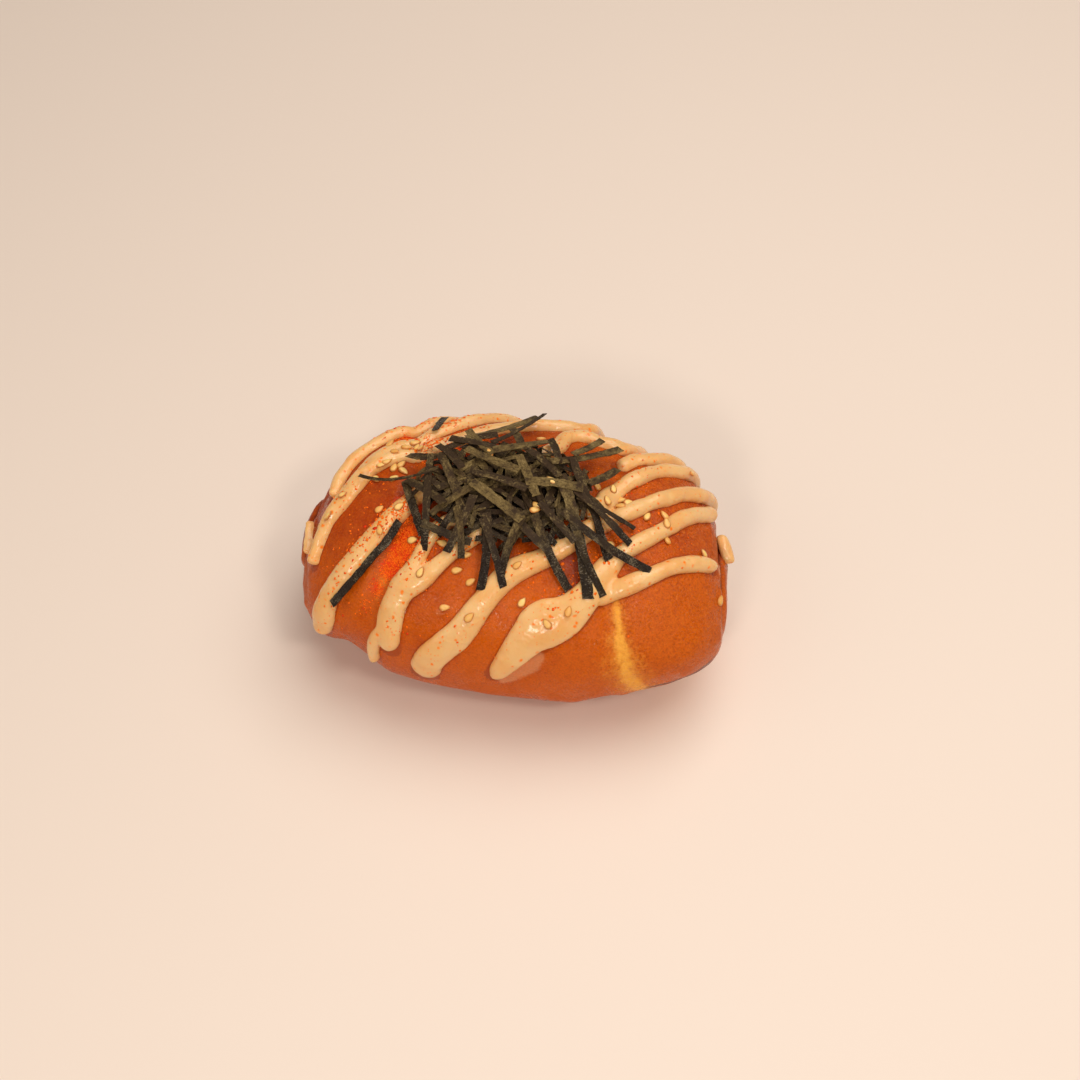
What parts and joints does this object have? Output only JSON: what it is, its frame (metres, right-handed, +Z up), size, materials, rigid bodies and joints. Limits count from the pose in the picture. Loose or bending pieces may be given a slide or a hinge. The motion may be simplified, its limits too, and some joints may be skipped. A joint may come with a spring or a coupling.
{
  "type": "pollock roe salt bread",
  "caption": "Plump oval bread roll with glossy crust, piped creamy roe drizzle, sesame seeds and a heap of shredded nori on top.",
  "frame": {"origin": "under the middle of the roll, on the surface it rests on", "axes": "+X along the roll, +Y to the back, +Z up"},
  "size_m": [0.1219, 0.0872, 0.0618],
  "materials": {
    "crust": "baked orange-brown crust with a thin oily gloss, fine pores and paler stretched seams",
    "nori": "dry dark green-black laver with olive mottling and a faint satin sheen",
    "sauce": "thick creamy drizzle with fine orange roe dots and a wet gloss",
    "sesame": "toasted seed hull, pale yellow with browner tips",
    "chili": "dry orange-red flakes and powder"
  },
  "bodies": {
    "root": {"bread": "crust", "nori_heap": "nori", "nori_strip_front": "nori", "nori_strip_back": "nori"}
  },
  "joints": []
}
